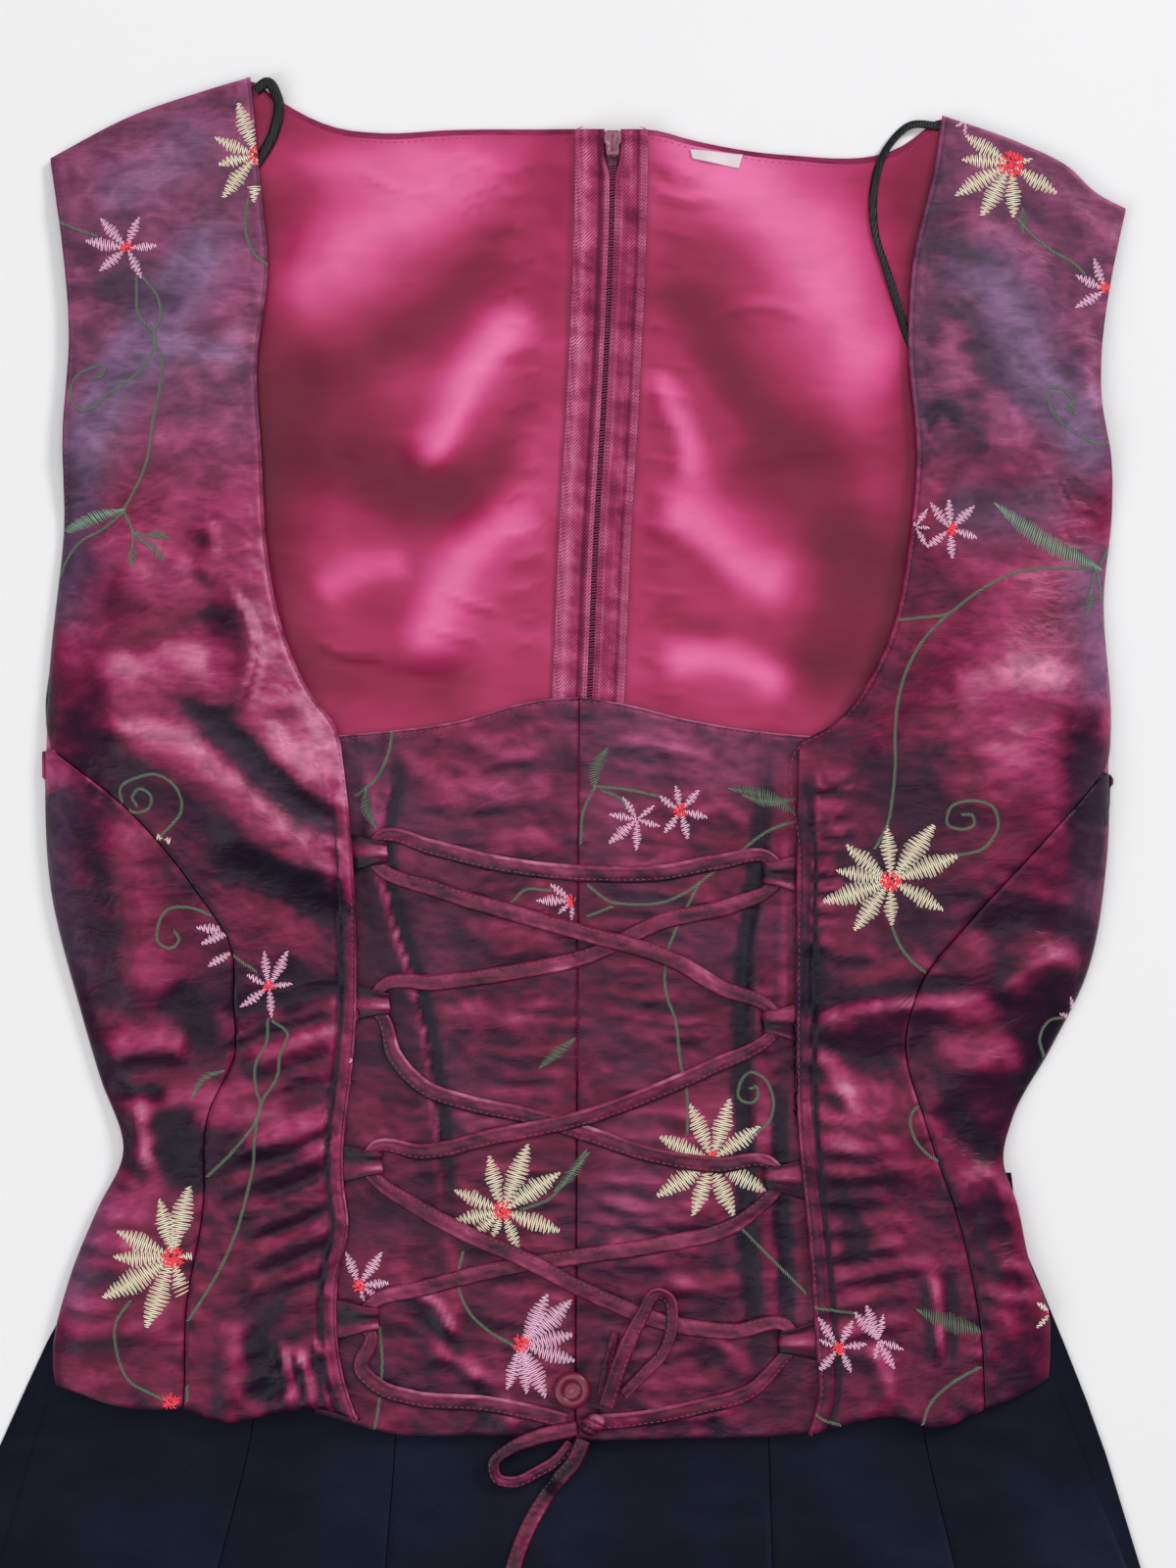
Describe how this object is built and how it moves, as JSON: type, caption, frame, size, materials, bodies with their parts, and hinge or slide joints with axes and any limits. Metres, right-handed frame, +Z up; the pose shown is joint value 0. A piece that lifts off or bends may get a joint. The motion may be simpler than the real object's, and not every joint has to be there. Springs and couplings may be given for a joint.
{
  "type": "bunad costume",
  "caption": "Folk costume laid flat: sleeveless laced bodice of embroidered shot taffeta with a tied front insert, on top of a long navy gored twill skirt.",
  "frame": {"origin": "middle of the footprint of the laid-out set, on the surface it lies on", "axes": "+X across the garment to the viewer's right, +Y from the skirt's hem to the shoulders, +Z up from the surface, out of the garment's front"},
  "size_m": [0.9916, 1.2746, 0.0257],
  "materials": {
    "taffeta": "crisp shot taffeta, burgundy with a slate cast, crinkled, satin-stitch flowers",
    "lace_taffeta": "folded band of the same taffeta, top-stitched along one edge",
    "lining_satin": "smooth magenta satin",
    "skirt_twill": "matt navy twill",
    "zip_tape": "woven tape",
    "zip_coil": "nylon coil",
    "slider_paint": "mauve enamel",
    "hanger_tape": "black ribbed tape",
    "label_satin": "plain woven label",
    "button_plastic": "satin polyester"
  },
  "bodies": {
    "garment": {"bodice_front_left": "taffeta", "bodice_front_right": "taffeta", "side_front_left": "taffeta", "side_front_right": "taffeta", "insert_left": "taffeta", "insert_right": "taffeta", "bodice_back_left": "taffeta", "bodice_back_right": "taffeta", "lace": "lace_taffeta", "bow_knot": "lace_taffeta", "bow_loop_left": "lace_taffeta", "bow_loop_right": "lace_taffeta", "lace_tail_long": "lace_taffeta", "lace_tail_short": "lace_taffeta", "lace_loop_left_1": "lace_taffeta", "lace_loop_left_2": "lace_taffeta", "lace_loop_left_3": "lace_taffeta", "lace_loop_left_4": "lace_taffeta", "lace_loop_right_1": "lace_taffeta", "lace_loop_right_2": "lace_taffeta", "lace_loop_right_3": "lace_taffeta", "lace_loop_right_4": "lace_taffeta", "back_lining_left": "lining_satin", "back_lining_right": "lining_satin", "skirt_side_left": "skirt_twill", "skirt_front_left": "skirt_twill", "skirt_front_centre": "skirt_twill", "skirt_front_right": "skirt_twill", "skirt_side_right": "skirt_twill", "skirt_back_far_left": "skirt_twill", "skirt_back_left": "skirt_twill", "skirt_back_right": "skirt_twill", "skirt_back_far_right": "skirt_twill", "waistband_front": "skirt_twill", "waistband_back": "skirt_twill", "zip_tape_left": "zip_tape", "zip_tape_right": "zip_tape", "zip_coil": "zip_coil", "zip_slider": "slider_paint", "hanger_loop_left": "hanger_tape", "hanger_loop_right": "hanger_tape", "neck_label": "label_satin", "button": "button_plastic"},
    "zip_pull": {"zip_pull": "slider_paint"}
  },
  "joints": [
    {"name": "zip_pull_swing", "type": "hinge", "parent": "garment", "child": "zip_pull", "pos_m": [0.0444, 0.60848, 0.0014], "axis": [1, 0, 0], "range_deg": [0, 150]}
  ]
}
